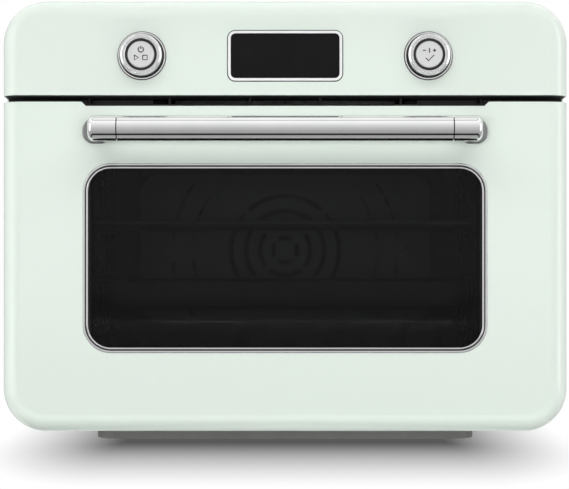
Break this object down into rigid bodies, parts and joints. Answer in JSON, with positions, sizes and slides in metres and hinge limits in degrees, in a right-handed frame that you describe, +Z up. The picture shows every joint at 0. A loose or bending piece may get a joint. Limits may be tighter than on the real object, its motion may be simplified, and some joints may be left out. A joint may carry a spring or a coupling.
{
  "type": "toaster oven",
  "caption": "Rounded enamelled countertop oven: drop-down glass door with bar handle, fan-forced cavity, rack and tray, turn-and-push controls, drip tray.",
  "frame": {"origin": "centre of the oven's footprint, on the surface that its feet stand on", "axes": "+X to the right seen from the front, +Y to the back, +Z up; the door faces -Y"},
  "size_m": [0.496, 0.48, 0.387],
  "materials": {
    "enamel": "gloss pastel green enamel",
    "chrome": "polished chrome plate",
    "satin_metal": "fine satin silver",
    "tinted_glass": "dark tinted tempered glass",
    "clear_glass": "clear tempered glass",
    "display_black": "gloss black window",
    "black_plastic": "fine-textured black plastic",
    "grey_plastic": "fine-textured dark grey plastic",
    "pale_plastic": "moulded pale plastic",
    "black_steel": "satin black paint",
    "cavity_enamel": "dark grey vitreous enamel",
    "zinc_steel": "zinc-coated sheet",
    "heater_sheath": "oxidised heater tube",
    "chrome_wire": "plated wire",
    "pan_enamel": "speckled black enamel",
    "gasket_rubber": "silicone rubber",
    "foot_rubber": "rubber",
    "fibre": "mineral fibre blanket",
    "circuit_board": "green lacquered board",
    "aluminium": "mill finish"
  },
  "bodies": {
    "oven_body": {"control_fascia": "enamel", "cabinet_shell": "enamel", "display_bezel": "chrome", "knob_bezels": "chrome", "lamp_glass": "clear_glass", "display_glass": "display_black", "vent_grille": "black_plastic", "display_module": "black_plastic", "encoders": "black_plastic", "cord_gland": "black_plastic", "front_frame": "black_steel", "cavity_wrap": "cavity_enamel", "cavity_rear_wall": "cavity_enamel", "fan_cover": "cavity_enamel", "base_plate": "zinc_steel", "rear_panel": "zinc_steel", "upper_deck": "zinc_steel", "cooling_fan_housing": "zinc_steel", "hinge_leaves": "zinc_steel", "cabinet_screws": "zinc_steel", "fan_cover_screws": "zinc_steel", "fan_motor": "zinc_steel", "cooling_fan_motor": "zinc_steel", "element_hangers": "zinc_steel", "grill_element": "heater_sheath", "lower_element": "heater_sheath", "ring_element": "heater_sheath", "rack_ladders": "chrome_wire", "door_gasket": "gasket_rubber", "rubber_feet": "foot_rubber", "insulation_blanket": "fibre", "control_board": "circuit_board", "power_board": "circuit_board", "oven_lamp": "pale_plastic"},
    "door": {"door_shell": "enamel", "window_trim": "chrome", "outer_glass": "tinted_glass", "inner_glass": "clear_glass", "door_inner_panel": "black_steel", "glass_retainers": "zinc_steel", "handle_bar": "chrome", "handle_brackets": "chrome", "handle_screws": "zinc_steel", "hinge_knuckles": "zinc_steel", "hinge_pins": "zinc_steel"},
    "convection_fan": {"fan_impeller": "aluminium", "fan_shaft": "zinc_steel"},
    "cooling_fan": {"cooling_fan_wheel": "aluminium"},
    "left_knob": {"left_knob_ring": "chrome", "left_knob_core": "black_plastic"},
    "right_knob": {"right_knob_ring": "chrome", "right_knob_core": "black_plastic"},
    "left_push": {"left_button": "satin_metal", "left_button_spring": "zinc_steel"},
    "right_push": {"right_button": "satin_metal", "right_button_spring": "zinc_steel"},
    "drip_tray_drawer": {"drip_tray": "grey_plastic"},
    "rack": {"wire_rack": "chrome_wire"},
    "pan": {"baking_tray": "pan_enamel"}
  },
  "joints": [
    {"name": "door_hinge", "type": "hinge", "parent": "oven_body", "child": "door", "pos_m": [0, -0.178, 0.0256], "axis": [1, 0, 0], "range_deg": [0, 80], "stiffness_Nm_per_rad": 1.2, "springref_deg": -17.19},
    {"name": "convection_fan_spin", "type": "hinge", "parent": "oven_body", "child": "convection_fan", "pos_m": [0, 0.18, 0.1695], "axis": [0, 1, 0], "continuous": true},
    {"name": "cooling_fan_spin", "type": "hinge", "parent": "oven_body", "child": "cooling_fan", "pos_m": [0, 0.06, 0.338], "axis": [1, 0, 0], "continuous": true},
    {"name": "left_knob_turn", "type": "hinge", "parent": "oven_body", "child": "left_knob", "pos_m": [-0.125, -0.2, 0.3375], "axis": [0, 1, 0], "continuous": true},
    {"name": "left_button_press", "type": "slide", "parent": "oven_body", "child": "left_push", "axis": [0, 1, 0], "range_m": [0, 0.0015], "stiffness_N_per_m": 400, "springref_m": -0.002, "deforming": ["left_button_spring"]},
    {"name": "right_knob_turn", "type": "hinge", "parent": "oven_body", "child": "right_knob", "pos_m": [0.125, -0.2, 0.3375], "axis": [0, 1, 0], "continuous": true},
    {"name": "right_button_press", "type": "slide", "parent": "oven_body", "child": "right_push", "axis": [0, 1, 0], "range_m": [0, 0.0015], "stiffness_N_per_m": 400, "springref_m": -0.002, "deforming": ["right_button_spring"]},
    {"name": "drip_tray_slide", "type": "slide", "parent": "oven_body", "child": "drip_tray_drawer", "axis": [0, -1, 0], "range_m": [0, 0.085]},
    {"name": "wire_rack_slide", "type": "slide", "parent": "oven_body", "child": "rack", "axis": [0, -1, 0], "range_m": [0, 0.145]},
    {"name": "baking_tray_slide", "type": "slide", "parent": "oven_body", "child": "pan", "axis": [0, -1, 0], "range_m": [0, 0.145]}
  ],
  "couplings": [
    {"joint": "wire_rack_slide", "follows": "door_hinge", "m_per_rad": 0.1},
    {"joint": "baking_tray_slide", "follows": "door_hinge", "m_per_rad": 0.1}
  ]
}
